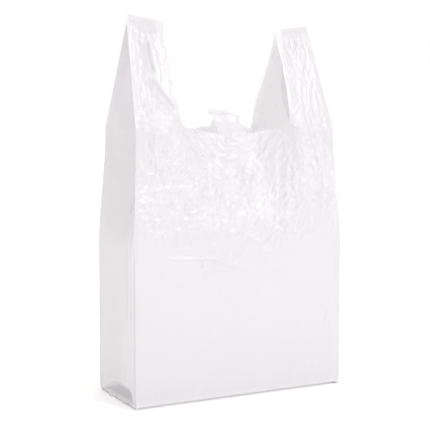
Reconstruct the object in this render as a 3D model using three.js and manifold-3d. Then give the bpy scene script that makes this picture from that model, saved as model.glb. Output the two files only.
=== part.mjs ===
// A vest-shaped carrier bag of thin plastic film, standing open and empty.
//
// The bag is one tube of film with a gusset folded into each side. The bottom of the tube is
// welded shut and folded under, so the bag stands on a flat base. The top is cut to a mouth
// with two handle loops, each welded shut along its top, and a tab that hung in the packet.
//
// X runs across the front, Y from front to back and Z upwards. The origin is in the middle of
// the base. All sizes are in millimetres.

import * as THREE from 'three';
import Module from 'manifold-3d';
import { mergeVertices } from 'three/addons/utils/BufferGeometryUtils.js';

const wasm = await Module();
wasm.setup();

// The film. The real one is 0.017 thick, and this stands in for it in a solid.
const FILM = 0.5;
const LAYER_GAP = 0.3;

// The body, from the base up to the mouth.
const BODY_HALF_WIDTH = 141;
const BODY_HALF_DEPTH = 55.5;
const SHOULDER_HEIGHT = 180;
const MOUTH_HEIGHT = 325;
const MOUTH_HALF_WIDTH = 134.5;
const MOUTH_HALF_DEPTH = 47;
const FOOT_HEIGHT = 14;
const FOOT_NARROWING = 1.5;

// The side gussets fold inwards along their middle.
const GUSSET_TUCK_AT_FOOT = 2;
const GUSSET_TUCK_AT_SHOULDER = 5;
const GUSSET_TUCK_AT_MOUTH = 20;

// The handle loops lean inwards and close to a weld along a sloping top edge.
const HANDLE_OUTER_TOP = 459;
const RIGHT_HANDLE_DROP = 4;
const HANDLE_TOP_HALF_WIDTH = 124;
const HANDLE_TOP_SLOPE = 0.14;
const HANDLE_INNER_TOP = 77;
const WELD_BAND = 9;
const FRONT_MOUTH_CORNER = 73;
const BACK_MOUTH_CORNER = 61;
const MOUTH_CORNER_RADIUS = 9;
const STRIP_EDGE_BOW = 3;
const MOUTH_SAG = 1;

// The tab draws the middle of the front and back towards each other.
const FRONT_DRAWN_IN = 23;
const BACK_DRAWN_IN = 33;
const DRAWN_FROM_HEIGHT = 190;
const DRAWN_FLAT_HALF_WIDTH = 28;
const DRAWN_END = 68;
const TAB_JOIN_HEIGHT = 337.5;
const TAB_JOIN_Y = -8;
const TAB_FOOT_HEIGHT = 318;
const TAB_NECK_LEFT = -15;
const TAB_NECK_RIGHT = 24;
const TAB_NECK_TOP = 333;
const TAB_HEAD_LEFT = -22;
const TAB_HEAD_RIGHT = 22;
const TAB_TOP_LEFT_HEIGHT = 349;
const TAB_TOP_RIGHT_HEIGHT = 343;
const TAB_CORNER_CUT = { across: 2, down: 1 };
const TAB_PIN_RADIUS = 4;
const TAB_PIN_X = 2;
const TAB_PIN_HEIGHT = 342;

// The folded base.
const SEAL_FIN_WIDTH = 10;
const SEAL_GROOVE_WIDTH = 0.6;
const SEAL_GROOVE_DEPTH = 0.2;
const EAR_MARGIN = 1;
const EAR_FOLD_WIDTH = 1.2;

// How finely the curved film is divided.
const COLUMNS = 20;
const GUSSET_STEPS = 6;
const CURVE_STEPS = 8;
const BODY_ROW_HEIGHTS = [FOOT_HEIGHT, 60, 120, SHOULDER_HEIGHT, 215, 245, 270, 290, 308, MOUTH_HEIGHT];
const HANDLE_ROWS = 3;
const PAST_THE_EDGE = 40;

// How much further in than the film's thickness its inner face lies, as the gussets slant.
const SLANT_ALLOWANCE = 1.3;

const FILM_MATERIAL = new THREE.MeshStandardMaterial({
  name: 'blown_film',
  color: 0xf0eff1,
  roughness: 0.35,
  metalness: 0,
  side: THREE.DoubleSide,
});

const mix = THREE.MathUtils.lerp;
const ease = THREE.MathUtils.smoothstep;

// A closed geometry as a solid that can be cut and joined.
function solid(geometry) {
  geometry.deleteAttribute('normal');
  geometry.deleteAttribute('uv');
  const merged = mergeVertices(geometry, 1e-4);
  return new wasm.Manifold(new wasm.Mesh({
    numProp: 3,
    vertProperties: new Float32Array(merged.attributes.position.array),
    triVerts: new Uint32Array(merged.index.array),
  }));
}

function geometryOf(body) {
  const mesh = body.getMesh();
  const geometry = new THREE.BufferGeometry();
  geometry.setAttribute('position', new THREE.BufferAttribute(new Float32Array(mesh.vertProperties), 3));
  geometry.setIndex(new THREE.BufferAttribute(new Uint32Array(mesh.triVerts), 1));
  geometry.computeVertexNormals();
  return geometry;
}

// Height of the top edge of a handle, which is highest at its outer corner. The right handle
// has settled a little lower than the left.
function topEdgeHeight(x) {
  const inFromCorner = HANDLE_TOP_HALF_WIDTH - Math.min(Math.abs(x), HANDLE_TOP_HALF_WIDTH);
  const drop = RIGHT_HANDLE_DROP * ease(x, -HANDLE_INNER_TOP, HANDLE_INNER_TOP);
  return HANDLE_OUTER_TOP - drop - HANDLE_TOP_SLOPE * inFromCorner;
}

// How far up a handle a point is: 0 at the mouth and 1 at the lower edge of the weld.
function handleRise(x, z) {
  const rise = (z - MOUTH_HEIGHT) / (topEdgeHeight(x) - WELD_BAND - MOUTH_HEIGHT);
  return THREE.MathUtils.clamp(rise, 0, 1);
}

function halfWidth(z) {
  if (z > MOUTH_HEIGHT) {
    const rise = (z - MOUTH_HEIGHT) / (HANDLE_OUTER_TOP - MOUTH_HEIGHT);
    return mix(MOUTH_HALF_WIDTH, HANDLE_TOP_HALF_WIDTH, rise);
  }
  const shoulder = ease(z, SHOULDER_HEIGHT, MOUTH_HEIGHT);
  const foot = 1 - Math.min(z / FOOT_HEIGHT, 1);
  return mix(BODY_HALF_WIDTH, MOUTH_HALF_WIDTH, shoulder) - FOOT_NARROWING * foot * foot;
}

// Half the depth at the corners, before the tab draws the middle in.
function halfDepth(x, z) {
  if (z > MOUTH_HEIGHT) {
    return mix(MOUTH_HALF_DEPTH, FILM + LAYER_GAP / 2, handleRise(x, z));
  }
  return mix(BODY_HALF_DEPTH, MOUTH_HALF_DEPTH, ease(z, SHOULDER_HEIGHT, MOUTH_HEIGHT));
}

// How far the middle fold of a gusset lies inside the line between its two corners.
function gussetTuck(x, z) {
  if (z > MOUTH_HEIGHT) {
    return GUSSET_TUCK_AT_MOUTH * (1 - handleRise(x, z));
  }
  if (z > SHOULDER_HEIGHT) {
    return mix(GUSSET_TUCK_AT_SHOULDER, GUSSET_TUCK_AT_MOUTH, ease(z, SHOULDER_HEIGHT, MOUTH_HEIGHT));
  }
  return mix(GUSSET_TUCK_AT_FOOT, GUSSET_TUCK_AT_SHOULDER, z / SHOULDER_HEIGHT);
}

// Share of the tab's pull at a place: 1 next to the tab and 0 at the handles.
function tabPull(x) {
  return 1 - ease(Math.abs(x), DRAWN_FLAT_HALF_WIDTH, DRAWN_END);
}

// Y of the outer face of the front (side -1) or the back (side 1).
function panelY(side, x, z) {
  const drawnIn = side < 0 ? FRONT_DRAWN_IN : BACK_DRAWN_IN;
  const pulled = ease(z, DRAWN_FROM_HEIGHT, MOUTH_HEIGHT) * drawnIn;
  const bodyY = side * (halfDepth(x, Math.min(z, MOUTH_HEIGHT)) - pulled);
  const joinY = TAB_JOIN_Y + side * (FILM + LAYER_GAP / 2);
  const join = THREE.MathUtils.clamp((z - MOUTH_HEIGHT) / (TAB_JOIN_HEIGHT - MOUTH_HEIGHT), 0, 1);
  return mix(side * halfDepth(x, z), mix(bodyY, joinY, join), tabPull(x));
}

// Height of a row of points. Above the mouth there are three rows: where the tab's two layers
// meet, at the lower edge of the handles' welds, and along the sloping top edge.
function rowHeight(row, x, base) {
  if (row === 0) {
    return base;
  }
  if (row <= BODY_ROW_HEIGHTS.length) {
    return BODY_ROW_HEIGHTS[row - 1];
  }
  const top = topEdgeHeight(x);
  const handleRow = row - BODY_ROW_HEIGHTS.length;
  if (handleRow === 1) {
    const share = (TAB_JOIN_HEIGHT - MOUTH_HEIGHT) / (topEdgeHeight(0) - MOUTH_HEIGHT);
    return mix(MOUTH_HEIGHT, top, share);
  }
  return handleRow < HANDLE_ROWS ? top - WELD_BAND : top;
}

// The space inside the film's outer face (inset 0) or its inner face (inset FILM). The width and
// the gusset's fold are taken at a nearby place, as a row's height depends on its own X.
function filledBag(inset, rows) {
  const block = new THREE.BoxGeometry(2, 2, rows, COLUMNS, GUSSET_STEPS, rows);
  const place = block.attributes.position;
  for (let i = 0; i < place.count; i += 1) {
    const across = place.getX(i);
    const through = place.getY(i);
    const row = Math.round(place.getZ(i) + rows / 2);
    const nearX = HANDLE_TOP_HALF_WIDTH * across;
    const nearZ = rowHeight(row, nearX, inset);
    const fold = gussetTuck(nearX, nearZ) * (1 - Math.abs(through));
    const x = across * (halfWidth(nearZ) - fold - SLANT_ALLOWANCE * inset);
    const z = rowHeight(row, x, inset);
    const front = panelY(-1, x, z) + inset;
    const back = panelY(1, x, z) - inset;
    place.setXYZ(i, x, mix(front, back, (through + 1) / 2), z);
  }
  return solid(block);
}

// A block with the given outline in X and Z, from one Y to another.
function slabInY(outline, fromY, toY) {
  const slab = new THREE.ExtrudeGeometry(outline, {
    depth: toY - fromY,
    bevelEnabled: false,
    curveSegments: CURVE_STEPS,
  });
  slab.rotateX(Math.PI / 2);
  slab.translate(0, toY, 0);
  return solid(slab);
}

// A block with the given outline in X and Y, from one Z to another.
function slabInZ(outline, fromZ, toZ) {
  const slab = new THREE.ExtrudeGeometry(outline, { depth: toZ - fromZ, bevelEnabled: false });
  slab.translate(0, 0, fromZ);
  return solid(slab);
}

function polygon(points) {
  return new THREE.Shape(points.map(([x, y]) => new THREE.Vector2(x, y)));
}

// What is cut away between the handles, leaving the mouth's edge and the tab.
function mouthOutline(corner) {
  const over = HANDLE_OUTER_TOP + PAST_THE_EDGE;
  const radius = MOUTH_CORNER_RADIUS;
  const bowHeight = (MOUTH_HEIGHT + HANDLE_OUTER_TOP) / 2;
  const bowX = (corner + HANDLE_INNER_TOP) / 2 + STRIP_EDGE_BOW;
  const outline = new THREE.Shape();
  outline.moveTo(-HANDLE_INNER_TOP, over);
  outline.lineTo(-HANDLE_INNER_TOP, HANDLE_OUTER_TOP - WELD_BAND);
  outline.quadraticCurveTo(-bowX, bowHeight, -corner, MOUTH_HEIGHT + radius);
  outline.quadraticCurveTo(-corner, MOUTH_HEIGHT, -corner + radius, MOUTH_HEIGHT);
  outline.quadraticCurveTo(TAB_NECK_LEFT - radius, MOUTH_HEIGHT - MOUTH_SAG, TAB_NECK_LEFT, TAB_FOOT_HEIGHT);
  outline.lineTo(TAB_NECK_LEFT, TAB_NECK_TOP);
  const headSide = TAB_TOP_LEFT_HEIGHT - TAB_CORNER_CUT.down;
  outline.quadraticCurveTo(TAB_NECK_LEFT, TAB_NECK_TOP + radius / 2, TAB_HEAD_LEFT, headSide);
  outline.lineTo(TAB_HEAD_LEFT + TAB_CORNER_CUT.across, TAB_TOP_LEFT_HEIGHT);
  outline.lineTo(TAB_HEAD_LEFT + 2 * radius, TAB_TOP_LEFT_HEIGHT);
  outline.lineTo(TAB_HEAD_RIGHT, TAB_TOP_RIGHT_HEIGHT);
  outline.lineTo(TAB_HEAD_RIGHT, TAB_NECK_TOP);
  outline.lineTo(TAB_NECK_RIGHT, TAB_FOOT_HEIGHT + radius);
  outline.quadraticCurveTo(TAB_NECK_RIGHT + radius, MOUTH_HEIGHT - MOUTH_SAG, corner - radius, MOUTH_HEIGHT);
  outline.quadraticCurveTo(corner, MOUTH_HEIGHT, corner, MOUTH_HEIGHT + radius);
  outline.quadraticCurveTo(bowX, bowHeight, HANDLE_INNER_TOP, HANDLE_OUTER_TOP - WELD_BAND);
  outline.lineTo(HANDLE_INNER_TOP, over);
  outline.closePath();
  return outline;
}

function mouthCut() {
  const outside = BODY_HALF_DEPTH + PAST_THE_EDGE;
  const front = slabInY(mouthOutline(FRONT_MOUTH_CORNER), -outside, 0);
  return front.add(slabInY(mouthOutline(BACK_MOUTH_CORNER), 0, outside));
}

// The spot where a hot pin joined the two layers of the tab.
function tabPin() {
  const pin = new THREE.CylinderGeometry(TAB_PIN_RADIUS, TAB_PIN_RADIUS, FILM + LAYER_GAP, CURVE_STEPS * 2);
  pin.translate(TAB_PIN_X, TAB_JOIN_Y, TAB_PIN_HEIGHT);
  return solid(pin);
}

// The gusset's end is a triangle that lies flat over the folded front and back strips. It is
// joined to them along its two slanting folds, and open to the outside along the bag's edge.
function gussetEar(side) {
  const foot = BODY_HALF_WIDTH - FOOT_NARROWING;
  const reach = BODY_HALF_DEPTH - EAR_MARGIN;
  const tip = foot - reach;
  const ear = slabInZ(
    polygon([[side * (foot - FILM), -reach], [side * (foot - FILM), reach], [side * tip, 0]]),
    FILM / 2,
    2 * FILM + LAYER_GAP,
  );
  const open = foot + PAST_THE_EDGE;
  const inner = reach + PAST_THE_EDGE - EAR_FOLD_WIDTH;
  const pocket = slabInZ(
    polygon([[side * open, -inner], [side * open, inner], [side * (open - inner), 0]]),
    FILM,
    FILM + LAYER_GAP,
  );
  return { ear, pocket };
}

// The bottom weld folds flat under the base, so its outline shows as two fine grooves.
function sealGrooves() {
  const end = BODY_HALF_WIDTH + PAST_THE_EDGE;
  const grooves = [0, SEAL_FIN_WIDTH].map((y) => slabInZ(
    polygon([[-end, y], [end, y], [end, y + SEAL_GROOVE_WIDTH], [-end, y + SEAL_GROOVE_WIDTH]]),
    -1,
    SEAL_GROOVE_DEPTH,
  ));
  return grooves[0].add(grooves[1]);
}

function bag() {
  const outside = filledBag(0, BODY_ROW_HEIGHTS.length + HANDLE_ROWS);
  const inside = filledBag(FILM, BODY_ROW_HEIGHTS.length + HANDLE_ROWS - 1);
  const left = gussetEar(-1);
  const right = gussetEar(1);
  const body = outside
    .subtract(inside)
    .subtract(mouthCut())
    .add(tabPin())
    .add(left.ear)
    .add(right.ear)
    .subtract(left.pocket)
    .subtract(right.pocket)
    .subtract(sealGrooves());
  const mesh = new THREE.Mesh(geometryOf(body), FILM_MATERIAL);
  mesh.name = 'bag';
  return mesh;
}

const group = new THREE.Group();
group.add(bag());

export default group;
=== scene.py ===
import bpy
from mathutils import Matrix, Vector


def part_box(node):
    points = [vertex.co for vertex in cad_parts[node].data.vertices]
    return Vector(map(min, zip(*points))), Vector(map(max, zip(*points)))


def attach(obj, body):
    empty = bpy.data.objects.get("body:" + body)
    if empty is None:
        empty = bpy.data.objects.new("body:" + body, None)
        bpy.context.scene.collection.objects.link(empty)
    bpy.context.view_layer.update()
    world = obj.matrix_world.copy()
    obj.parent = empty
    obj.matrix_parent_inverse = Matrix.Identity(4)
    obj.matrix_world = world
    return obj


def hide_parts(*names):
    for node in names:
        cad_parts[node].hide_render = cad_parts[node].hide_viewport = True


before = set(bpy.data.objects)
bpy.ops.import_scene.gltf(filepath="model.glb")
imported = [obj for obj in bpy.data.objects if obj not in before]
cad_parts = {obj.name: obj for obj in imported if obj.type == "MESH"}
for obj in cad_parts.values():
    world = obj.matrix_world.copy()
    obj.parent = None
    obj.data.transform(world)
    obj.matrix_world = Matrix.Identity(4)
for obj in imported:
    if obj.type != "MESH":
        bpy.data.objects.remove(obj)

"""A vest carrier bag of thin white film, standing open and empty.

The bag is one tube of blown film. Its points lie on a grid: the columns run up the film and the
rows run round it, first under the base, then up the four sides, then up the two handle loops and
the tab. The grid is bent to the bag's shape, and its folds, creases and crinkles then move it in
or out. The film is far thinner than anything that shows, so it is modelled as a single sheet.
"""

import math
from collections import namedtuple

import bpy
import numpy as np
from mathutils import Vector

bl_info = {
    "name": "Vest carrier bag",
    "version": (1, 0, 0),
    "blender": (4, 5, 0),
    "location": "3D View > Sidebar > Carrier bag",
    "description": "Builds a standing carrier bag of crinkled film and the stage it stands on",
    "category": "Object",
}

MM = 0.001
SEED = 11

# The bag's outer sizes come from the frame, and the rest is set out from them.
BODY_HALF_WIDTH, BODY_HALF_DEPTH, HANDLE_TOP = np.array(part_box("bag")[1])

# The body, from the base up to the mouth. It narrows from the shoulder up, and a little at the foot.
SHOULDER_HEIGHT = 180 * MM
MOUTH_HEIGHT = 325 * MM
MOUTH_HALF_WIDTH = 134.5 * MM
MOUTH_HALF_DEPTH = 47 * MM
FOOT_HEIGHT = 14 * MM
FOOT_NARROWING = 1.5 * MM

# A side gusset: half its flat width, how much of the half width its fold leaves free, how far the
# fold is rounded as a share of half the gusset, and the heights where the fold starts and is full.
GUSSET_HALF = 57 * MM
GUSSET_ROOM = 84 * MM
GUSSET_FOLD_ROUNDING = 0.07
GUSSET_FOLD_START = -20 * MM
GUSSET_FOLD_FULL = 150 * MM

# The handle loops. Their tops slope down inwards, the right one a little lower, and end in a flat
# weld that leans back. Each loop has a front and a back strip, whose cut edges curve into the strip
# above the mouth's rounded corners. Welded layers lie a layer step apart.
RIGHT_HANDLE_DROP = 4 * MM
HANDLE_TOP_HALF_WIDTH = 124 * MM
HANDLE_TOP_SLOPE = 0.14
HANDLE_INNER_TOP = 77 * MM
WELD_BAND = 9 * MM
FRONT_MOUTH_CORNER = 73 * MM
BACK_MOUTH_CORNER = 61 * MM
MOUTH_CORNER_RADIUS = 9 * MM
STRIP_EDGE_BOW = 3 * MM
WELD_LEAN = 3 * MM
LAYER_STEP = 0.35 * MM

# The tab draws the middle of the front and the back towards each other, all the way where the bag
# is flat across and less and less up to the drawn end. It also lifts the back's mouth by a share of
# the front's sag.
FRONT_DRAWN_IN = 23 * MM
BACK_DRAWN_IN = 33 * MM
DRAWN_FROM_HEIGHT = 190 * MM
DRAWN_FLAT_HALF_WIDTH = 28 * MM
DRAWN_END = 92 * MM
DRAWN_UP_TO = 372 * MM
TAB_LEFT = -15 * MM
TAB_RIGHT = 24 * MM
TAB_FOOT_HEIGHT = 318 * MM
TAB_JOIN_Y = -8 * MM
TAB_TOP_HEIGHT = 348 * MM
TAB_TOP_DROP = 6 * MM
TAB_TIP_LEAN = 8 * MM
TAB_NARROWING = 1.5 * MM
BACK_MOUTH_RISE = 0.5

# The folded base: the width of the weld's fin, the heights of the fin, of the step up and down to
# its two layers, of the front's and back's film, of the flaps and of the sides' folded ears, and the
# lowest that any film lies.
FIN_WIDTH = 8 * MM
FIN_HEIGHT = 0.5 * MM
FIN_STEP = 0.3 * MM
BASE_HEIGHT = 0.2 * MM
FLAP_HEIGHT = 0.6 * MM
EAR_HEIGHT = 1 * MM
LOWEST_FILM = 0.1 * MM

# The front's and back's bottom edges stand a little off the floor, except at their corners, and so
# do the sides'. The film above and below comes back to its place within the fade and the roll.
FOOT_LIFT = 2.6 * MM
FOOT_LIFT_FADE = 20 * MM
FOOT_LIFT_ENDS = 0.975
FOOT_ROLL = 22 * MM
EAR_LIFT = 9 * MM
EAR_LIFT_FADE = 40 * MM
EAR_SQUARENESS = 6

# The foot of each side is tucked in over a part of its depth, which is given by the y where the
# tuck starts, is full, starts to end and has ended, seen on the left side.
TUCK_IN = 9 * MM
TUCK_DEEPEST = 3 * MM
TUCK_TOP = 18 * MM
TUCK_AT_EDGE = 0.25
TUCK_SPAN = (-46 * MM, -30 * MM, 10 * MM, 34 * MM)

# Below the tuck the film turns under above a gap, and comes back out as a crumpled lip. The lip's
# rows lie along the film from the side's edge, each with the share of the edge's height it is at.
# Its crumples are given by width and height, and are set back so that they stay under the side. It
# gets shorter by a share between two places along the side's depth.
GAP_DEPTH = 7 * MM
LIP_REACH = 4 * MM
LIP_ROWS = np.array([0, 2.8, 5.6, 8.4, 11.2, 14]) * MM
LIP_LEVELS = (1, 0.9, 0.78, 0.52, 0.2, 0.08)
LIP_ROOM = 24 * MM
LIP_SHORTENS = (10 * MM, 46 * MM, 0.6)
LIP_CRUMPLES = ((6 * MM, 2.6 * MM), (10 * MM, 2.2 * MM))
LIP_CRUMPLE_SET_BACK = 1.2 * MM

# Numbers of cells: along the front's strips, mouth and tab, round a gusset, and up the rows.
STRIP_CELLS = 50
MOUTH_CELLS = (35, 28, 28)
BACK_STRIP_CELLS = 39
BACK_MOUTH_CELLS = (18, 20, 14)
GUSSET_CELLS = 40
FIN_CELLS = 2
BASE_CELLS = GUSSET_CELLS // 2
FOOT_CELLS = 15
LOWER_CELLS = 40
UPPER_CELLS = 114
HANDLE_CELLS = 80
TAB_CELLS = 16
FOOT_ROWS_TOP = 20 * MM
FINE_FROM_HEIGHT = 150 * MM

FRONT, RIGHT, BACK, LEFT = range(4)

# A fold's path lists (across, height) in mm. Its film is drawn out of the surface by rise, within
# half_fold of the path. Where reach is given the fold is a step: the film beyond the path, on its
# right when walking along it, lies lower by rise and comes back up over reach.
Fold = namedtuple("Fold", "path half_fold rise reach", defaults=(0,))

FRONT_FOLDS = (
    # A long, thin, nearly level crease across the left half.
    Fold(((-109, 175), (-72, 172), (-43, 171), (-13, 160), (16, 157)), 3.0, 1.7),
    # Two glossy folds side by side below the right handle.
    Fold(((46, 190), (48, 215), (52, 250), (57, 285), (56, 320)), 4.0, 1.3, 12),
    Fold(((62, 186), (67, 218), (66, 255), (70, 286), (66, 322)), 4.5, 1.6, 14),
    # Swags that hang below the tab.
    Fold(((-53, 322), (-33, 311), (-13, 304), (14, 306), (40, 316)), 3.4, 1.0),
    Fold(((-49, 300), (-20, 291), (14, 295), (38, 306)), 3.6, 0.9),
    Fold(((-67, 279), (-34, 274), (-7, 272), (26, 279)), 4.0, 0.8),
    Fold(((-24, 313), (-6, 309), (16, 311)), 2.4, 0.6),
    # Folds that hang from the left handle.
    Fold(((-125, 276), (-123, 300), (-121, 322)), 4.5, 1.2, 10),
    Fold(((-118, 274), (-113, 300), (-110, 323)), 4.5, 1.5, 12),
    Fold(((-110, 286), (-104, 303), (-100, 319)), 3.6, 1.2, 9),
    Fold(((-95, 282), (-88, 298), (-86, 318)), 3.4, 0.9, 9),
    # Folds that hang from the right handle.
    Fold(((93, 323), (92, 296), (90, 265)), 4.6, 0.9),
    Fold(((109, 323), (110, 290), (110, 258)), 4.0, 0.8),
    Fold(((117, 300), (118, 272), (117, 244)), 3.2, 0.7),
    # Slanting creases near the lower right corner and one in the middle.
    Fold(((97, 28), (112, 40), (139, 56)), 3.0, 0.5),
    Fold(((104, 62), (118, 84), (128, 108)), 3.4, 0.45),
    Fold(((-51, 152), (-34, 158), (-17, 166)), 3.0, 0.4),
    # The left handle's strip, with a folded facet along its inner edge.
    Fold(((-120, 430), (-121, 404), (-124, 358), (-125, 328)), 3.0, 0.5),
    Fold(((-113, 366), (-116, 346), (-120, 328)), 3.2, 0.7),
    Fold(((-107, 360), (-110, 344), (-114, 328)), 3.0, 0.7),
    Fold(((-106, 388), (-98, 381), (-92, 371), (-85, 360), (-77, 350)), 6.0, 6.8, 15),
    Fold(((-99, 431), (-98.5, 415), (-98, 400), (-95, 388)), 5.5, 5.4, 15),
    Fold(((-101, 345), (-92, 340), (-82, 337)), 2.4, 0.6),
    # The right handle's strip, with two pleats that lean together.
    Fold(((87, 436), (88, 424), (88.5, 400), (88, 372), (88, 350)), 2.6, 1.1),
    Fold(((82, 428), (84, 400), (84, 374), (83, 345)), 2.2, 0.7),
    Fold(((116.5, 424), (109, 405), (101, 386)), 3.0, 0.9),
    Fold(((117, 372), (117, 350), (115, 328)), 3.4, 0.6),
    Fold(((95, 366), (94, 346), (93, 328)), 3.0, 0.6),
)
BACK_FOLDS = (
    Fold(((-96, 320), (-99, 280), (-92, 236)), 4.4, 1.1),
    Fold(((-112, 322), (-112, 290), (-116, 262)), 4.0, 0.9),
    Fold(((84, 322), (90, 288), (86, 240)), 4.6, 1.2),
    Fold(((108, 322), (112, 292), (114, 255)), 4.0, 0.8),
    Fold(((-60, 312), (-30, 300), (0, 296), (34, 302), (62, 314)), 4.0, 1.0),
    Fold(((-50, 288), (-16, 276), (22, 276), (52, 288)), 4.2, 0.8),
    Fold(((-104, 190), (-60, 182), (-10, 186), (32, 178)), 2.8, 0.5),
    Fold(((20, 118), (64, 132), (112, 128)), 3.2, 0.4),
    Fold(((-120, 60), (-96, 42), (-78, 22)), 3.0, 0.5),
    Fold(((-104, 432), (-106, 400), (-108, 352)), 3.0, 0.7),
    Fold(((100, 430), (98, 396), (100, 350)), 3.0, 0.7),
)
SIDE_FOLDS = (
    # The slanting crease where the gusset starts to tuck in, and soft folds up the side.
    Fold(((-46, 286), (-24, 252), (-2, 222)), 2.6, 0.8),
    Fold(((44, 282), (24, 250), (4, 224)), 2.6, 0.6),
    Fold(((-22, 240), (-24, 160), (-20, 70)), 5.0, 0.5),
    Fold(((18, 200), (20, 130), (16, 50)), 5.0, 0.5),
    Fold(((-18, 420), (-20, 380), (-24, 330)), 3.0, 0.5),
    Fold(((22, 400), (20, 370), (16, 332)), 3.0, 0.5),
)

# A patch of many short creases: its middle and half sizes in mm, the creases' angle in degrees (or
# None to run round the tab's foot) and its spread, their number, the longest half length, the
# half width of a fold and its rise.
Patch = namedtuple("Patch", "across height half_width half_height angle spread count reach half_fold rise")

FRONT_PATCHES = (
    Patch(0, 262, 134, 66, 40, 70, 200, 15, 3.0, 0.36),
    Patch(4, 292, 62, 34, None, 12, 120, 22, 2.6, 0.50),
    Patch(-112, 300, 22, 28, 92, 14, 60, 16, 2.8, 0.45),
    Patch(-80, 282, 26, 20, 28, 24, 70, 10, 2.2, 0.50),
    Patch(-62, 250, 40, 26, 40, 40, 80, 11, 3.0, 0.50),
    Patch(0, 222, 70, 32, 52, 24, 110, 14, 2.8, 0.42),
    Patch(100, 285, 30, 42, 90, 20, 110, 18, 2.8, 0.36),
    Patch(98, 225, 36, 36, 62, 24, 80, 20, 3.0, 0.42),
    Patch(58, 250, 16, 70, 86, 14, 60, 16, 2.8, 0.34),
    Patch(0, 100, 130, 90, 40, 60, 60, 26, 4.0, 0.22),
    Patch(116, 70, 22, 40, 62, 20, 22, 16, 3.0, 0.35),
    Patch(-104, 380, 30, 60, 92, 26, 130, 14, 2.6, 0.24),
    Patch(-96, 338, 36, 18, 20, 50, 70, 9, 2.4, 0.36),
    Patch(104, 380, 30, 60, 88, 24, 130, 14, 2.6, 0.20),
    Patch(104, 338, 30, 18, 50, 60, 60, 9, 2.6, 0.26),
)
BACK_PATCHES = (
    Patch(0, 262, 134, 66, 120, 70, 180, 17, 3.4, 0.38),
    Patch(-4, 292, 62, 34, None, 14, 90, 24, 3.2, 0.50),
    Patch(-104, 285, 30, 42, 88, 20, 90, 18, 3.0, 0.45),
    Patch(104, 285, 30, 42, 92, 20, 90, 18, 3.0, 0.45),
    Patch(0, 100, 130, 90, 120, 60, 60, 26, 4.4, 0.24),
    Patch(-98, 380, 34, 60, 88, 28, 130, 14, 2.8, 0.30),
    Patch(98, 380, 34, 60, 92, 28, 130, 14, 2.8, 0.30),
)
SIDE_PATCHES = (
    Patch(0, 160, 46, 150, 90, 8, 60, 34, 5.0, 0.13),
    Patch(0, 270, 46, 50, 70, 50, 70, 14, 4.0, 0.25),
    Patch(0, 390, 34, 60, 90, 10, 60, 26, 3.6, 0.22),
)

# Where the film is crinkled all over: the zone's middle and half sizes in mm, the angle of its
# crinkles in degrees, how long and how far apart they are, and their rise.
Zone = namedtuple("Zone", "across height half_width half_height angle length gap rise")

FRONT_ZONES = (
    Zone(0, 246, 200, 108, 28, 15, 7.8, 0.42),
    Zone(-64, 268, 66, 56, 40, 16, 6.5, 0.68),
    Zone(-88, 236, 66, 34, 4, 20, 6.5, 0.64),
    Zone(4, 238, 90, 52, 42, 16, 7.0, 0.66),
    Zone(20, 190, 110, 34, 20, 24, 9.1, 0.31),
    Zone(98, 262, 44, 76, 70, 19, 7.0, 0.34),
    Zone(-112, 300, 30, 34, 96, 24, 7.8, 0.55),
    Zone(-104, 340, 46, 26, 12, 18, 6.5, 0.61),
    Zone(106, 344, 40, 36, 56, 18, 7.0, 0.36),
    Zone(-100, 400, 40, 66, 78, 27, 7.8, 0.22),
    Zone(102, 400, 36, 60, 80, 27, 8.1, 0.19),
    Zone(2, 340, 34, 26, 62, 14, 6.0, 0.36),
    Zone(20, 120, 150, 90, 35, 35, 15.6, 0.22),
)
BACK_ZONES = (
    Zone(0, 268, 190, 92, 150, 15, 8.3, 0.34),
    Zone(60, 262, 70, 56, 140, 18, 7.0, 0.56),
    Zone(-70, 248, 70, 50, 40, 18, 7.0, 0.54),
    Zone(0, 232, 84, 40, 172, 20, 7.0, 0.50),
    Zone(-100, 385, 46, 76, 86, 24, 7.3, 0.44),
    Zone(100, 385, 46, 76, 94, 24, 7.3, 0.44),
    Zone(-20, 120, 150, 90, 150, 35, 15.6, 0.17),
)
SIDE_ZONES = (
    Zone(0, 270, 60, 70, 70, 20, 8.3, 0.30),
    Zone(0, 150, 64, 130, 88, 54, 15.6, 0.12),
    Zone(0, 390, 50, 70, 84, 24, 7.8, 0.28),
)


CREASED = {
    FRONT: (FRONT_FOLDS, FRONT_PATCHES, FRONT_ZONES),
    RIGHT: (SIDE_FOLDS, SIDE_PATCHES, SIDE_ZONES),
    BACK: (BACK_FOLDS, BACK_PATCHES, BACK_ZONES),
    LEFT: (SIDE_FOLDS, SIDE_PATCHES, SIDE_ZONES),
}

# A zone's crinkles are ridges along soft noise. These are their winding to the side and its size,
# in gaps, how much finer each of two sets of ridges is, how narrow and how sharp a ridge is, its mean
# height, which is taken off, and how its strength varies.
RIDGE_WINDING = 0.5
RIDGE_WINDING_SIZE = 1.4
RIDGE_FINENESS = (1, 1.6)
RIDGE_NARROWNESS = 1.7
RIDGE_SHARPNESS = 1.3
RIDGE_MEAN = 0.3
ZONE_STRENGTH = 0.6
ZONE_STRENGTH_SIZE = 2.6

# A zone's oval border is broken up by noise of this size in mm, and the crinkles fade in from it.
ZONE_EDGE_BREAK = 0.35
ZONE_EDGE_SIZE = 26
ZONE_EDGE_FADE = 0.7

# The size of the noise's table, and a shift that keeps the table's lines off the bag's middle.
NOISE_TABLE = 64
NOISE_SHIFT = (17.3, 5.9)

# Both kinds of fold have sides of this sharpness. A long fold keeps its rise but for its two ends.
FOLD_SHARPNESS = 1.5
FOLD_FULLNESS = 1.6

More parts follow.
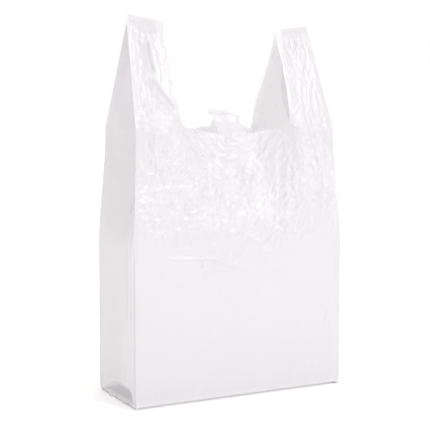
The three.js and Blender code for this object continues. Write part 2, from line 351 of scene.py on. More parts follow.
# A patch's creases vary between these shares of its reach, half_fold and rise, and one way in three
# they are dents. They bow by up to a share of their reach, and those round the tab's foot run round
# a point this far above the mouth in mm.
CREASE_REACHES = (0.35, 1)
CREASE_WIDTHS = (0.6, 1.2)
CREASE_RISES = (0.3, 1)
CREASE_WAYS = (1, 1, -1)
CREASE_BOW = 0.2
TAB_PULL_RISE = 14

# The rise and size of the panels' slow waves in mm. Waves and crinkles set in between two heights
# above the floor, in mm, and end between two distances below the top edge, in weld bands.
WAVE_RISE = 2.0
WAVE_SIZE = 75
WAVE_FOOT = (5, 60)
WAVE_TOP = (1, 6)
CRINKLE_FOOT = (3, 16)
CRINKLE_TOP = (0.8, 2.6)

# How far in mm from the bag's four upright edges, which stay straight, the film is fully crinkled,
# and how far from a strip's cut edge. Film that turns by more than the angle is folded flat.
STRAIGHT_EDGE = 10
CUT_EDGE_CALM = 7 * MM
FLAT_FOLD_ANGLE = math.radians(100)

# Hairline creases: how far apart they are, how many times closer going up, their lean in degrees and
# their depth where the film was crushed.
HAIRLINE_SPACING = 20 / 3 * MM
HAIRLINE_CROWDING = 2.0
HAIRLINE_LEAN = 35
HAIRLINE_DEPTH = 0.6 * MM

# The stage: half the floor's side in metres, the lamps' cool white against the surroundings' warm
# one, and the camera, whose dip and turn are in degrees, and lens and sensor in mm.
FLOOR_HALF = 40.0
COOL_WHITE = (0.95, 0.975, 1.0)
WARM_WHITE = (1.0, 0.985, 0.97, 1.0)
CAMERA_PLACE = (-0.6053, -1.1467, 0.3315)
CAMERA_DIP = 5.04
CAMERA_TURN = -27.5
CAMERA_LENS = 87.4381
CAMERA_SENSOR = 36.0
SUN_DISTANCE = 3


def ease(value, start, end):
    """0 before start, 1 after end and smooth between them."""
    share = np.clip((value - start) / (end - start), 0, 1)
    return share * share * (3 - 2 * share)


def mix(low, high, share):
    """low where share is 0 and high where it is 1."""
    return low + (high - low) * share


# ---------------------------------------------------------------- the bag's plain shape


def top_edge_height(x):
    """Height of a handle's top edge, which slopes down from its outer corner."""
    drop = RIGHT_HANDLE_DROP * ease(x, -HANDLE_INNER_TOP, HANDLE_INNER_TOP)
    in_from_corner = HANDLE_TOP_HALF_WIDTH - np.minimum(np.abs(x), HANDLE_TOP_HALF_WIDTH)
    return HANDLE_TOP - drop - HANDLE_TOP_SLOPE * in_from_corner


def handle_rise(x, z):
    """0 at the mouth and 1 at the lower edge of a handle's weld."""
    return np.clip((z - MOUTH_HEIGHT) / (top_edge_height(x) - WELD_BAND - MOUTH_HEIGHT), 0, 1)


def half_width(z):
    """Half the bag's width at a height."""
    foot = 1 - np.minimum(z / FOOT_HEIGHT, 1)
    body = mix(BODY_HALF_WIDTH, MOUTH_HALF_WIDTH, ease(z, SHOULDER_HEIGHT, MOUTH_HEIGHT))
    rise = (z - MOUTH_HEIGHT) / (HANDLE_TOP - MOUTH_HEIGHT)
    handle = mix(MOUTH_HALF_WIDTH, HANDLE_TOP_HALF_WIDTH, rise)
    return np.where(z > MOUTH_HEIGHT, handle, body - FOOT_NARROWING * foot * foot)


def half_depth(x, z):
    """Half the bag's depth at a height, away from the tab."""
    body = mix(BODY_HALF_DEPTH, MOUTH_HALF_DEPTH, ease(z, SHOULDER_HEIGHT, MOUTH_HEIGHT))
    handle = mix(MOUTH_HALF_DEPTH, 2 * LAYER_STEP, handle_rise(x, z))
    return np.where(z > MOUTH_HEIGHT, handle, body)


def drawn_y(side, x, z):
    """Y of the front (side -1) or back (side 1), drawn in next to the tab."""
    pull = 1 - ease(np.abs(x), DRAWN_FLAT_HALF_WIDTH, DRAWN_END)
    drawn_in = FRONT_DRAWN_IN if side < 0 else BACK_DRAWN_IN
    drawn_in = drawn_in * ease(z, DRAWN_FROM_HEIGHT, MOUTH_HEIGHT)
    body_y = side * (half_depth(x, np.minimum(z, MOUTH_HEIGHT)) - drawn_in)
    join_y = TAB_JOIN_Y + side * 0.5 * LAYER_STEP
    join = np.clip((z - TAB_FOOT_HEIGHT) / (TAB_TOP_HEIGHT - TAB_FOOT_HEIGHT), 0, 1)
    join = 1 - (1 - join) ** 2
    return mix(side * half_depth(x, z), mix(body_y, join_y, join), pull)


def gusset_point(side, across, x_handle, z):
    """A point of a side gusset: across runs from -1 at the front corner to 1 at the back."""
    depth = half_depth(x_handle, z)
    tuck = np.sqrt(np.maximum(GUSSET_HALF ** 2 - depth ** 2, 0))
    tuck = np.minimum(tuck, half_width(z) - GUSSET_ROOM)
    tuck = tuck * ease(z, GUSSET_FOLD_START, GUSSET_FOLD_FULL)
    fold = math.hypot(1, GUSSET_FOLD_ROUNDING) - np.hypot(across, GUSSET_FOLD_ROUNDING)
    x = side * (half_width(z) - tuck * fold)
    return x, across * depth


# ---------------------------------------------------------------- the grid of film


def ring_columns():
    """The grid's columns round the bag: panel, zone along the mouth, and place across the panel."""
    columns = []

    def add(panel, zone, start, end, cells):
        for step in range(cells):
            columns.append((panel, zone, mix(start, end, step / cells)))

    def add_panel(panel, corner, strip_cells, mouth_cells, direction):
        inner = (corner - MOUTH_CORNER_RADIUS) / MOUTH_HALF_WIDTH
        stops = [-1, -inner, TAB_LEFT / MOUTH_HALF_WIDTH, TAB_RIGHT / MOUTH_HALF_WIDTH, inner, 1]
        cells = [strip_cells, *mouth_cells, strip_cells]
        zones = ["left", "mouth", "tab", "mouth", "right"]
        if direction < 0:
            stops, cells, zones = stops[::-1], cells[::-1], zones[::-1]
        for zone, start, end, count in zip(zones, stops, stops[1:], cells):
            add(panel, zone, start, end, count)

    add_panel(FRONT, FRONT_MOUTH_CORNER, STRIP_CELLS, MOUTH_CELLS, 1)
    add(RIGHT, "gusset", -1, 1, GUSSET_CELLS)
    add_panel(BACK, BACK_MOUTH_CORNER, BACK_STRIP_CELLS, BACK_MOUTH_CELLS, -1)
    add(LEFT, "gusset", 1, -1, GUSSET_CELLS)
    return columns


def mouth_edge_height(panel, across):
    """Height of the mouth's edge: it sags from the handles to the tab's foot."""
    x = across * MOUTH_HALF_WIDTH
    beside_tab = np.where(x < 0, TAB_LEFT, TAB_RIGHT)
    corner = (FRONT_MOUTH_CORNER if panel == FRONT else BACK_MOUTH_CORNER) - MOUTH_CORNER_RADIUS
    near = 1 - ease(np.abs(x - beside_tab), 0, corner - abs(TAB_RIGHT))
    inside_tab = (x > TAB_LEFT) & (x < TAB_RIGHT)
    sag = (MOUTH_HEIGHT - TAB_FOOT_HEIGHT) * np.where(inside_tab, 1, near)
    if panel == BACK:
        sag = -sag * BACK_MOUTH_RISE
    return MOUTH_HEIGHT - np.where(np.abs(x) > corner, 0, sag)


def strip_inner_edge(panel, z):
    """Half the gap between the two handles at a height, with the mouth's rounded corners."""
    corner = FRONT_MOUTH_CORNER if panel == FRONT else BACK_MOUTH_CORNER
    top = HANDLE_TOP - WELD_BAND
    rise = np.clip((z - MOUTH_HEIGHT) / (top - MOUTH_HEIGHT), 0, 1)
    edge = mix(corner, HANDLE_INNER_TOP, rise) + STRIP_EDGE_BOW * 4 * rise * (1 - rise)
    up = np.clip((z - MOUTH_HEIGHT) / MOUTH_CORNER_RADIUS, 0, 1)
    rounding = MOUTH_CORNER_RADIUS * (1 - np.sqrt(1 - (1 - up) ** 2))
    return edge - rounding


def body_heights():
    """Heights of the body's rows, closest at the foot and where the film is crinkled."""
    foot = np.linspace(0, FOOT_ROWS_TOP, FOOT_CELLS + 1)
    lower = np.linspace(FOOT_ROWS_TOP, FINE_FROM_HEIGHT, LOWER_CELLS + 1)
    upper = np.linspace(FINE_FROM_HEIGHT, MOUTH_HEIGHT, UPPER_CELLS + 1)
    return np.concatenate([foot, lower[1:], upper[1:]])


def foot_lift(across):
    """How far the front's and back's bottom edges stand off the floor."""
    return FOOT_LIFT * (1 - ease(np.abs(across), FOOT_LIFT_ENDS, 1))


def ear_lift(across):
    """How far a side's bottom edge stands off the floor."""
    return EAR_LIFT * (1 - np.abs(across) ** EAR_SQUARENESS)


def side_y(panel, across):
    """Y of a place on a side, with the right side's turned round so that both sides are alike."""
    return across * BODY_HALF_DEPTH * (-1 if panel == RIGHT else 1)


def side_tuck(panel, across, above):
    """How far a side is tucked in at a height above its bottom edge."""
    y = side_y(panel, across)
    where = ease(y, *TUCK_SPAN[:2]) * (1 - ease(y, *TUCK_SPAN[2:]))
    rolled = mix(TUCK_AT_EDGE, 1, ease(above, 0, TUCK_DEEPEST))
    return TUCK_IN * where * rolled * (1 - ease(above, TUCK_DEEPEST, TUCK_TOP))


def lip_offset(panel, across, inward):
    """How far the lip under a side is set back from the side, and the share of its height left."""
    y = side_y(panel, across)
    crumple = -LIP_CRUMPLE_SET_BACK
    for number, (width, height) in enumerate(LIP_CRUMPLES):
        noise = soft_noise(y, inward + 40 * MM * number, width, SEED + 9 * number + panel)
        crumple = crumple + height * np.abs(noise)
    shorten_from, shortest_from, shorter_by = LIP_SHORTENS
    reach = LIP_REACH * (1 - shorter_by * ease(y, shorten_from, shortest_from))
    section = (0, GAP_DEPTH, 0.1 * GAP_DEPTH, -0.6 * reach, -reach, -0.6 * reach)
    back = np.interp(inward, LIP_ROWS, section) + crumple * (inward > LIP_ROWS[1])
    return back, np.interp(inward, LIP_ROWS, LIP_LEVELS)


def base_point(panel, across, below):
    """A point of the film that is folded under, at a distance below the bottom edge."""
    reach = BODY_HALF_DEPTH
    foot = half_width(np.array(0.0))
    inward = np.minimum(below, reach)
    in_fin = below > reach
    if panel in (FRONT, BACK):
        side = -1 if panel == FRONT else 1
        z = foot_lift(across) * (1 - ease(inward, 0, FOOT_ROLL)) + BASE_HEIGHT
        y = np.where(in_fin, below - reach + LAYER_STEP * side, side * (reach - inward))
        return across * foot, y, np.where(in_fin, FIN_HEIGHT + FIN_STEP * side, z)
    # A side's film first folds straight in as an ear, with the lip at its edge. Then it turns and
    # runs on to the middle as a flap under the front or the back.
    side = 1 if panel == RIGHT else -1
    ear_room = reach * (1 - np.abs(across))
    if below < ear_room:
        room = np.minimum(1, ear_room / LIP_ROOM)
        back, left = lip_offset(panel, across, inward / np.maximum(room, 0.01))
        under = ease(inward, LIP_ROWS[-1] * room, ear_room)
        inset = side_tuck(panel, across, 0) * (1 - under) + mix(back * room, ear_room, under)
        z = mix(ear_lift(across) * left, EAR_HEIGHT, under)
        return side * (foot - inset), across * reach, z
    flap_y = np.sign(across) * (reach - inward)
    y = np.where(in_fin, below - reach, flap_y)
    return side * (foot - ear_room), y, np.where(in_fin, FIN_HEIGHT, FLAP_HEIGHT)


def body_point(panel, across, z):
    """A point of the body's film at a height."""
    if panel in (FRONT, BACK):
        x = across * half_width(z)
        lift = foot_lift(across) * (1 - ease(z, 0, FOOT_LIFT_FADE))
        return x, drawn_y(-1 if panel == FRONT else 1, x, z), z + lift
    side = 1 if panel == RIGHT else -1
    x, y = gusset_point(side, across, side * half_width(z), z)
    lift = ear_lift(across) * (1 - ease(z, 0, EAR_LIFT_FADE))
    return x - side * side_tuck(panel, across, z), y, z + lift


def weld_lean(x, z):
    """A handle's weld goes on up in the front strip's slope."""
    return WELD_LEAN * np.clip(1 - (top_edge_height(x) - z) / WELD_BAND, 0, 1)


def handle_point(panel, zone, across, share):
    """A point above the mouth: share runs from 0 at the mouth to 1 at the top edge."""
    if zone == "gusset":
        side = 1 if panel == RIGHT else -1
        x_guess = side * HANDLE_TOP_HALF_WIDTH
        z = mix(MOUTH_HEIGHT, top_edge_height(x_guess), share)
        x, _ = gusset_point(side, across, x_guess, z)
        z = mix(MOUTH_HEIGHT, top_edge_height(x), share)
        return x, across * half_depth(x, z) + weld_lean(x, z), z
    side = -1 if zone == "left" else 1
    corner = (FRONT_MOUTH_CORNER if panel == FRONT else BACK_MOUTH_CORNER) - MOUTH_CORNER_RADIUS
    start = corner / MOUTH_HALF_WIDTH
    over = (np.abs(across) - start) / (1 - start)
    z_guess = mix(MOUTH_HEIGHT, top_edge_height(side * HANDLE_INNER_TOP), share)
    x = side * mix(strip_inner_edge(panel, z_guess), half_width(z_guess), over)
    z = mix(MOUTH_HEIGHT, top_edge_height(x), share)
    drawn = 1 - ease(np.abs(x), DRAWN_FLAT_HALF_WIDTH, DRAWN_END)
    left = (1 - np.clip((z - MOUTH_HEIGHT) / (DRAWN_UP_TO - MOUTH_HEIGHT), 0, 1)) ** 2
    drawn_in = FRONT_DRAWN_IN if panel == FRONT else BACK_DRAWN_IN
    y = half_depth(x, z) - drawn_in * drawn * left
    return x, (-1 if panel == FRONT else 1) * y + weld_lean(x, z), z


def tab_point(panel, across, share):
    """A point of the tab: share runs from 0 at its foot to 1 at its top, whose left corner leans out."""
    over = (across * MOUTH_HALF_WIDTH - TAB_LEFT) / (TAB_RIGHT - TAB_LEFT)
    foot = mouth_edge_height(panel, across)
    top = TAB_TOP_HEIGHT - TAB_TOP_DROP * ease(over, 0.35, 1)
    z = mix(foot, top, share)
    lean = TAB_TIP_LEAN * ease(share, 0.45, 1) * (1 - over)
    narrowing = TAB_NARROWING * over * ease(share, 0, 0.5)
    x = mix(TAB_LEFT, TAB_RIGHT, over) - lean - narrowing
    y = drawn_y(-1 if panel == FRONT else 1, x, z)
    return x, y, z


def film_grid():
    """The grid's columns and points, and the numbers of its first body row and first top row."""
    columns = ring_columns()
    below = [BODY_HALF_DEPTH + FIN_WIDTH * k / FIN_CELLS for k in range(FIN_CELLS, 0, -1)]
    below += [BODY_HALF_DEPTH * (BASE_CELLS - k) / BASE_CELLS for k in range(BASE_CELLS)]
    heights = body_heights()
    rows = len(below) + len(heights) + HANDLE_CELLS
    first_body = len(below)
    first_top = first_body + len(heights)
    points = np.zeros((rows, len(columns), 3))
    for j, (panel, zone, across) in enumerate(columns):
        for i, depth in enumerate(below):
            points[i, j] = base_point(panel, across, np.float64(depth))
        edge = MOUTH_HEIGHT
        if panel in (FRONT, BACK):
            edge = mouth_edge_height(panel, np.float64(across))
        span = (edge - FINE_FROM_HEIGHT) / (MOUTH_HEIGHT - FINE_FROM_HEIGHT)
        z = np.where(heights > FINE_FROM_HEIGHT,
                     FINE_FROM_HEIGHT + (heights - FINE_FROM_HEIGHT) * span, heights)
        points[first_body:first_top, j] = np.stack(body_point(panel, across, z), axis=-1)
        # The column where a strip or the tab ends is already the mouth's, and rises with them.
        rises_with = columns[j - 1][1] if zone == "mouth" else zone
        if rises_with in ("left", "right", "gusset"):
            share = np.arange(1, HANDLE_CELLS + 1) / HANDLE_CELLS
            points[first_top:, j] = np.stack(handle_point(panel, rises_with, across, share), axis=-1)
        elif rises_with == "tab":
            share = np.arange(1, TAB_CELLS + 1) / TAB_CELLS
            top = first_top + TAB_CELLS
            points[first_top:top, j] = np.stack(tab_point(panel, across, share), axis=-1)
    return columns, points, first_body, first_top


def film_cells(columns, rows, first_top):
    """Corner numbers of every cell of film."""
    count = len(columns)
    cells = []
    for i in range(rows - 1):
        for j, (_, zone, _) in enumerate(columns):
            above = i - (first_top - 1)
            if above >= 0 and (zone == "mouth" or (zone == "tab" and above >= TAB_CELLS)):
                continue
            k = (j + 1) % count
            cells.append((i * count + j, i * count + k, (i + 1) * count + k, (i + 1) * count + j))
    return np.array(cells)


def point_normals(points, cells):
    """Outward unit normals of the film at its points."""
    normals = np.zeros_like(points)
    a, b, c, d = (points[cells[:, k]] for k in range(4))
    face = np.cross(c - a, d - b)
    for k in range(4):
        np.add.at(normals, cells[:, k], face)
    length = np.linalg.norm(normals, axis=1, keepdims=True)
    return normals / np.maximum(length, 1e-12)


# ---------------------------------------------------------------- folds, creases and crinkles


def soft_noise(u, v, size, seed):
    """Smooth noise between -1 and 1 whose bumps are about size across."""
    table = np.random.default_rng(seed).uniform(-1, 1, (NOISE_TABLE, NOISE_TABLE))
    gu = u / size + NOISE_SHIFT[0]
    gv = v / size + NOISE_SHIFT[1]
    iu = np.floor(gu).astype(int)
    iv = np.floor(gv).astype(int)
    fu = ease(gu - iu, 0, 1)
    fv = ease(gv - iv, 0, 1)
    near_u, next_u = iu % NOISE_TABLE, (iu + 1) % NOISE_TABLE
    near_v, next_v = iv % NOISE_TABLE, (iv + 1) % NOISE_TABLE
    low = mix(table[near_u, near_v], table[next_u, near_v], fu)
    high = mix(table[near_u, next_v], table[next_u, next_v], fu)
    return mix(low, high, fv)


def crinkles(s, t, zone, seed):
    """A zone's crinkles: sharp winding ridges that run along its angle and fade in and out."""
    turn = math.radians(zone.angle)
    along = (s * math.cos(turn) + t * math.sin(turn)) / zone.length
    off = (t * math.cos(turn) - s * math.sin(turn)) / zone.gap
    off = off + RIDGE_WINDING * soft_noise(along, off, RIDGE_WINDING_SIZE, seed)
    height = 0
    for number, finer in enumerate(RIDGE_FINENESS):
        wave = soft_noise(along * finer, off * finer, 1, seed + 1 + number)
        ridge = np.clip(1 - np.abs(wave) * RIDGE_NARROWNESS, 0, 1) ** RIDGE_SHARPNESS
        height = height + (ridge - RIDGE_MEAN) / finer
    strength = ZONE_STRENGTH * (1 + soft_noise(along, off, ZONE_STRENGTH_SIZE, seed + 7))
    inside = 1 - ((s - zone.across) / zone.half_width) ** 2 - ((t - zone.height) / zone.half_height) ** 2
    inside = inside + ZONE_EDGE_BREAK * soft_noise(s, t, ZONE_EDGE_SIZE, seed + 8)
    return zone.rise * height * strength * ease(inside, 0, ZONE_EDGE_FADE)


def fold_height(s, t, fold):
    """How far a fold moves each point, from the point's nearest place on the fold's path."""
    nearest = np.full(s.shape, np.inf)
    beside = np.zeros_like(s)
    along = np.zeros_like(s)
    spans = len(fold.path) - 1
    for k in range(spans):
        (s0, t0), (s1, t1) = fold.path[k], fold.path[k + 1]
        ds, dt = s1 - s0, t1 - t0
        share = np.clip(((s - s0) * ds + (t - t0) * dt) / (ds * ds + dt * dt), 0, 1)
        off_s, off_t = s - s0 - share * ds, t - t0 - share * dt
        distance = np.hypot(off_s, off_t)
        closer = distance < nearest
        nearest = np.where(closer, distance, nearest)
        beside = np.where(closer, np.sign(off_s * dt - off_t * ds), beside)
        along = np.where(closer, (k + share) / spans, along)
    taper = np.minimum(1, 4 * along * (1 - along) * FOLD_FULLNESS)
    if fold.reach:
        into = nearest * (beside > 0)
        step = ease(into, 0, fold.half_fold) * np.clip(1 - into / fold.reach, 0, 1)
        return -fold.rise * step * taper
    return fold.rise * np.clip(1 - nearest / fold.half_fold, 0, 1) ** FOLD_SHARPNESS * taper


def patch_height(s, t, patch, rng):
    """Height of a patch's short creases. Each is a sharp arc that fades out at both ends."""
    height = np.zeros_like(s)
    low, high = t.min(axis=1), t.max(axis=1)
    for _ in range(patch.count):
        place, lift = rng.uniform(-1, 1, 2)
        s0 = patch.across + patch.half_width * place
        t0 = patch.height + patch.half_height * lift
        turn = rng.normal() * patch.spread / 2
        if patch.angle is None:
            angle = math.atan2(s0 - patch.across, MOUTH_HEIGHT / MM + TAB_PULL_RISE - t0)
        else:
            angle = math.radians(patch.angle)
        angle += math.radians(turn)
        reach = patch.reach * rng.uniform(*CREASE_REACHES)
        half_fold = patch.half_fold * rng.uniform(*CREASE_WIDTHS)
        rise = patch.rise * rng.uniform(*CREASE_RISES) * rng.choice(CREASE_WAYS)
        bow = CREASE_BOW * rng.uniform(-1, 1) * reach
        rows = np.flatnonzero((high > t0 - reach) & (low < t0 + reach))
        if not rows.size:
            continue
        window = slice(rows[0], rows[-1] + 1)
        ds, dt = s[window] - s0, t[window] - t0
        along = (ds * math.cos(angle) + dt * math.sin(angle)) / reach
        off = (dt * math.cos(angle) - ds * math.sin(angle) - bow * along * along) / half_fold
        near = np.clip(1 - np.abs(off), 0, 1)
        height[window] += rise * near ** FOLD_SHARPNESS * np.clip(1 - along * along, 0, 1)
    return height


def panel_height(panel, s, t):
    """Heights at places in mm: of a panel's named folds in mm, and of its creases and crinkles."""
    folds, patches, zones = CREASED[panel]
    rng = np.random.default_rng(SEED + panel)
    named = sum(fold_height(s, t, fold) for fold in folds)
    creases = sum(patch_height(s, t, patch, rng) for patch in patches)
    creases += sum(crinkles(s, t, zone, SEED + 100 * panel + 10 * k) for k, zone in enumerate(zones))
    return named, creases


def strip_calm(panel, x, z):
    """The share of the crinkles that a handle's strip has: its die-cut edge is stretched nearly flat."""
    from_cut = np.abs(x) - strip_inner_edge(panel, z)
    in_strip = ease(z, MOUTH_HEIGHT, MOUTH_HEIGHT + CUT_EDGE_CALM) * (from_cut > -CUT_EDGE_CALM)
    return mix(1, ease(from_cut, -CUT_EDGE_CALM, CUT_EDGE_CALM), in_strip)


def crinkle_moves(columns, points, first_body, settings):
    """How far each point moves out of the plain surface, in metres."""
    moves = np.zeros(points.shape[:2])
    panels = np.array([column[0] for column in columns])
    crushed = settings.crinkle_height / MM
    for panel in (FRONT, RIGHT, BACK, LEFT):
        mine = np.flatnonzero(panels == panel)
        x, y, z = (points[first_body + 1:, mine, k] for k in range(3))
        s = (x if panel in (FRONT, BACK) else y) / MM
        t = z / MM
        named, creases = panel_height(panel, s, t)
        if panel in (FRONT, BACK):
            creases = creases * strip_calm(panel, x, z)
        below_top = (top_edge_height(x) - z) / WELD_BAND
        waves = WAVE_RISE * soft_noise(s, t, WAVE_SIZE, SEED + 40 + panel)
        waves = waves * ease(t, *WAVE_FOOT) * ease(below_top, *WAVE_TOP)
        fade = ease(t, *CRINKLE_FOOT) * ease(below_top, *CRINKLE_TOP)
        across = np.array([columns[j][2] for j in mine])
        half = MOUTH_HALF_WIDTH if panel in (FRONT, BACK) else MOUTH_HALF_DEPTH
        straight = ease((1 - np.abs(across)) * half / MM, 0, STRAIGHT_EDGE)
        moves[first_body + 1:, mine] = straight * (waves + fade * (named + crushed * creases)) * MM
    return moves


def build_mesh(name, points, cells):
    """A smooth mesh of the cells, with only the points that they use."""
    used, corners = np.unique(cells, return_inverse=True)
    mesh = bpy.data.meshes.new(name)
    mesh.from_pydata(points[used].tolist(), [], corners.reshape(cells.shape).tolist())
    mesh.polygons.foreach_set("use_smooth", [True] * len(mesh.polygons))
    # Only where film doubles back on itself, as at the weld under the base, does it shade as sharp.
    mesh.set_sharp_from_angle(angle=FLAT_FOLD_ANGLE)
    mesh.update()
    return mesh


# ---------------------------------------------------------------- materials


def linear(hex_colour):
    """An sRGB hex colour as the linear numbers that shaders take."""
    channels = [int(hex_colour[i:i + 2], 16) / 255 for i in (1, 3, 5)]
    bright = tuple(c / 12.92 if c <= 0.04045 else ((c + 0.055) / 1.055) ** 2.4 for c in channels)
    return bright + (1.0,)


def add_node(tree, kind, links=None, **settings):
    """A node with its settings, and links from socket name or number to another node's socket."""
    node = tree.nodes.new(kind)
    for key, value in settings.items():
        if key in node.bl_rna.properties:
            setattr(node, key, value)
        else:
            node.inputs[key.replace("_", " ")].default_value = value
    for socket, source in (links or {}).items():
        tree.links.new(source, node.inputs[socket])
    return node


def new_material(name):
    """An empty node material."""
    material = bpy.data.materials.new(name)
    material.use_nodes = True
    material.node_tree.nodes.clear()
    return material


def blown_film(settings):
    """Blown HDPE film, pigmented white: softly glossy, a little see-through and finely crinkled."""
    material = new_material("blown_hdpe_film")
    tree = material.node_tree
    place = add_node(tree, "ShaderNodeTexCoord")
    height = add_node(tree, "ShaderNodeSeparateXYZ", {"Vector": place.outputs["Object"]})

    # Hairline creases that lean to the right, deepest where the film was crushed. The finest real
    # ones are too fine to show, so these are drawn as coarse as they need to be.
    slant = add_node(tree, "ShaderNodeMapping", {"Vector": place.outputs["Object"]},
                     Rotation=(0, math.radians(HAIRLINE_LEAN), 0), Scale=(1.0, 1.0, HAIRLINE_CROWDING))
    waves = add_node(tree, "ShaderNodeTexNoise", {"Vector": slant.outputs[0]},
                     Scale=1 / HAIRLINE_SPACING, Detail=2.5, Roughness=0.5, Distortion=0.6)
    across = add_node(tree, "ShaderNodeMath", {0: waves.outputs[0]}, operation="SUBTRACT")
    across.inputs[1].default_value = 0.5
    creases = add_node(tree, "ShaderNodeMath", {0: across.outputs[0]}, operation="ABSOLUTE")
    crushed = add_node(tree, "ShaderNodeMapRange", {"Value": height.outputs["Z"]},
                       From_Min=0.16, From_Max=0.24, To_Min=0.15, To_Max=1.0)
    relief = add_node(tree, "ShaderNodeMath", {0: creases.outputs[0], 1: crushed.outputs[0]},
                      operation="MULTIPLY")
    bump = add_node(tree, "ShaderNodeBump", {"Height": relief.outputs[0]},
                    Strength=1.0, Distance=HAIRLINE_DEPTH)

    # So thin a film reflects at both of its faces. The coat stands for the smoother, second glint.
    film = add_node(tree, "ShaderNodeBsdfPrincipled",
                    {"Normal": bump.outputs["Normal"]}, Base_Color=settings.film_colour,
                    Roughness=0.27, IOR=1.54, Coat_Weight=1.0, Coat_Roughness=0.2, Coat_IOR=1.54)
    through = add_node(tree, "ShaderNodeBsdfTranslucent", {"Normal": bump.outputs["Normal"]},
                       Color=settings.film_colour)
    # Less light comes through where layers lie together: up the handles and in the folded base.
    up_handles = add_node(tree, "ShaderNodeMapRange", {"Value": height.outputs["Z"]},
                          From_Min=0.32, From_Max=0.42, To_Min=0.46, To_Max=0.45)
    in_base = add_node(tree, "ShaderNodeMapRange", {"Value": height.outputs["Z"]},
                       From_Min=0.001, From_Max=0.008, To_Min=0.2, To_Max=0.46)
    passing = add_node(tree, "ShaderNodeMath", {0: up_handles.outputs[0], 1: in_base.outputs[0]},
                       operation="MINIMUM")
    both = add_node(tree, "ShaderNodeMixShader",
                    {"Fac": passing.outputs[0], 1: film.outputs[0], 2: through.outputs[0]})
    add_node(tree, "ShaderNodeOutputMaterial", {"Surface": both.outputs[0]})
    return material


def matte_paper(settings):
    """Matte white paper: an even white without shine, with a faint glow that keeps it from greying."""
    material = new_material("matte_white_paper")
    tree = material.node_tree
    paper = add_node(tree, "ShaderNodeBsdfPrincipled", Base_Color=settings.floor_colour, Roughness=0.9,
                     Emission_Color=(1, 1, 1, 1), Emission_Strength=0.1)
    add_node(tree, "ShaderNodeOutputMaterial", {"Surface": paper.outputs[0]})
    return material


# ---------------------------------------------------------------- settings, operators and panel


class CarrierBagSettings(bpy.types.PropertyGroup):
    """Sizes and colours of the bag and its stage."""

    crinkle_height: bpy.props.FloatProperty(
        name="Crinkle height", description="Height of a fold that counts as 1 in the tables of creases",
        default=2.2 * MM, unit="LENGTH", subtype="DISTANCE")
    film_colour: bpy.props.FloatVectorProperty(
        name="Film colour", description="Colour of the pigmented film", default=linear("#F6F4F6"), size=4,
        min=0.0, max=1.0, subtype="COLOR")
    floor_colour: bpy.props.FloatVectorProperty(
        name="Floor colour", description="Colour of the paper the bag stands on", default=linear("#FAFAFA"),
        size=4, min=0.0, max=1.0, subtype="COLOR")


class CARRIERBAG_OT_film(bpy.types.Operator):
    """Build the bag's film"""

    bl_idname = "carrier_bag.film"
    bl_label = "Build the film"

    def execute(self, context):
        settings = context.scene.carrier_bag
        columns, points, first_body, first_top = film_grid()
        cells = film_cells(columns, points.shape[0], first_top)
        flat = points.reshape(-1, 3)
        normals = point_normals(flat, cells)
        moves = crinkle_moves(columns, points, first_body, settings)
        flat = flat + normals * moves.reshape(-1, 1)
        flat[:, 2] = np.maximum(flat[:, 2], LOWEST_FILM)
        mesh = build_mesh("bag_film", flat, cells)
        film = bpy.data.objects.new("bag_film", mesh)
        context.scene.collection.objects.link(film)
        mesh.materials.append(blown_film(settings))
        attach(film, "root")
        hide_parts("bag")
        return {"FINISHED"}


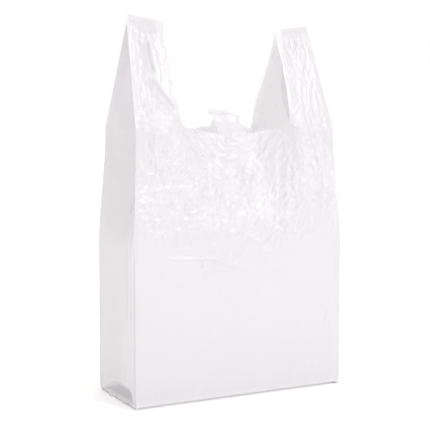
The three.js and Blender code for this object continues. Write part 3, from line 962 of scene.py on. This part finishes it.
class CARRIERBAG_OT_stage(bpy.types.Operator):
    """Lay the floor and set up the light and the camera"""

    bl_idname = "carrier_bag.stage"
    bl_label = "Set the stage"

    def execute(self, context):
        settings = context.scene.carrier_bag
        scene = context.scene
        mesh = bpy.data.meshes.new("floor")
        corners = [(x * FLOOR_HALF, y * FLOOR_HALF, 0) for x, y in ((-1, -1), (1, -1), (1, 1), (-1, 1))]
        mesh.from_pydata(corners, [], [(0, 1, 2, 3)])
        mesh.materials.append(matte_paper(settings))
        floor = bpy.data.objects.new("floor", mesh)
        scene.collection.objects.link(floor)
        self.surroundings(scene, seen=1.0, front=0.32, behind=0.52, overhead=1.4)
        self.sun(scene, "key", azimuth=10, elevation=62, power=0.25, width=40)
        self.sun(scene, "back", azimuth=170, elevation=40, power=0.3, width=60)
        self.sun(scene, "glint_high", azimuth=27, elevation=40, power=0.28, width=10)
        self.sun(scene, "glint_above", azimuth=27, elevation=20, power=0.34, width=9)
        self.sun(scene, "glint_right", azimuth=50, elevation=8, power=0.22, width=9)
        self.sun(scene, "glint_left", azimuth=4, elevation=8, power=0.14, width=9)

        camera = bpy.data.cameras.new("camera")
        camera.sensor_width = CAMERA_SENSOR
        camera.lens = CAMERA_LENS
        eye = bpy.data.objects.new("camera", camera)
        scene.collection.objects.link(eye)
        eye.location = CAMERA_PLACE
        eye.rotation_euler = (math.radians(90 - CAMERA_DIP), 0, math.radians(CAMERA_TURN))
        scene.camera = eye
        scene.view_settings.view_transform = "Standard"
        return {"FINISHED"}

    def surroundings(self, scene, seen, front, behind, overhead):
        """White all round, brighter behind, above and below: seen is how bright the camera sees it."""
        world = bpy.data.worlds.new("studio")
        world.use_nodes = True
        tree = world.node_tree
        tree.nodes.clear()
        place = add_node(tree, "ShaderNodeTexCoord")
        way = add_node(tree, "ShaderNodeSeparateXYZ", {"Vector": place.outputs["Generated"]})
        around = add_node(tree, "ShaderNodeMapRange", {"Value": way.outputs["Y"]},
                          From_Min=-1.0, To_Min=front, To_Max=behind)
        raised = add_node(tree, "ShaderNodeMath", {0: way.outputs["Z"], 1: way.outputs["Z"]},
                          operation="MULTIPLY")
        shed = add_node(tree, "ShaderNodeMix", {"Factor": raised.outputs[0], "A": around.outputs[0]},
                        B=overhead)
        light = add_node(tree, "ShaderNodeBackground", {"Strength": shed.outputs[0]},
                         Color=WARM_WHITE)
        sweep = add_node(tree, "ShaderNodeBackground", Color=(1, 1, 1, 1), Strength=seen)
        ray = add_node(tree, "ShaderNodeLightPath")
        both = add_node(tree, "ShaderNodeMixShader",
                        {"Fac": ray.outputs["Is Camera Ray"], 1: light.outputs[0], 2: sweep.outputs[0]})
        add_node(tree, "ShaderNodeOutputWorld", {"Surface": both.outputs[0]})
        scene.world = world

    def sun(self, scene, name, azimuth, elevation, power, width):
        """A large soft lamp: azimuth is turned right from the front, in degrees like the rest."""
        light = bpy.data.lights.new(name, "SUN")
        light.energy = power
        light.angle = math.radians(width)
        light.color = COOL_WHITE
        lamp = bpy.data.objects.new(name, light)
        scene.collection.objects.link(lamp)
        turn, lift = math.radians(azimuth), math.radians(elevation)
        level = math.cos(lift)
        towards = Vector((level * math.sin(turn), -level * math.cos(turn), math.sin(lift)))
        lamp.location = towards * SUN_DISTANCE
        lamp.rotation_euler = towards.to_track_quat("Z", "Y").to_euler()


class CARRIERBAG_PT_panel(bpy.types.Panel):
    """Lists the steps that build the bag"""

    bl_idname = "CARRIERBAG_PT_panel"
    bl_label = "Carrier bag"
    bl_space_type = "VIEW_3D"
    bl_region_type = "UI"
    bl_category = "Carrier bag"

    def draw(self, context):
        settings = context.scene.carrier_bag
        for name in CarrierBagSettings.__annotations__:
            self.layout.prop(settings, name)
        for step in STEPS:
            self.layout.operator(step.bl_idname)


STEPS = (CARRIERBAG_OT_film, CARRIERBAG_OT_stage)
CLASSES = (CarrierBagSettings, *STEPS, CARRIERBAG_PT_panel)


def register():
    for cls in CLASSES:
        bpy.utils.register_class(cls)
    bpy.types.Scene.carrier_bag = bpy.props.PointerProperty(type=CarrierBagSettings)


def unregister():
    del bpy.types.Scene.carrier_bag
    for cls in reversed(CLASSES):
        bpy.utils.unregister_class(cls)


def main():
    register()
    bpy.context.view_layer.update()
    bpy.ops.carrier_bag.film()
    bpy.ops.carrier_bag.stage()


if __name__ == "__main__":
    main()
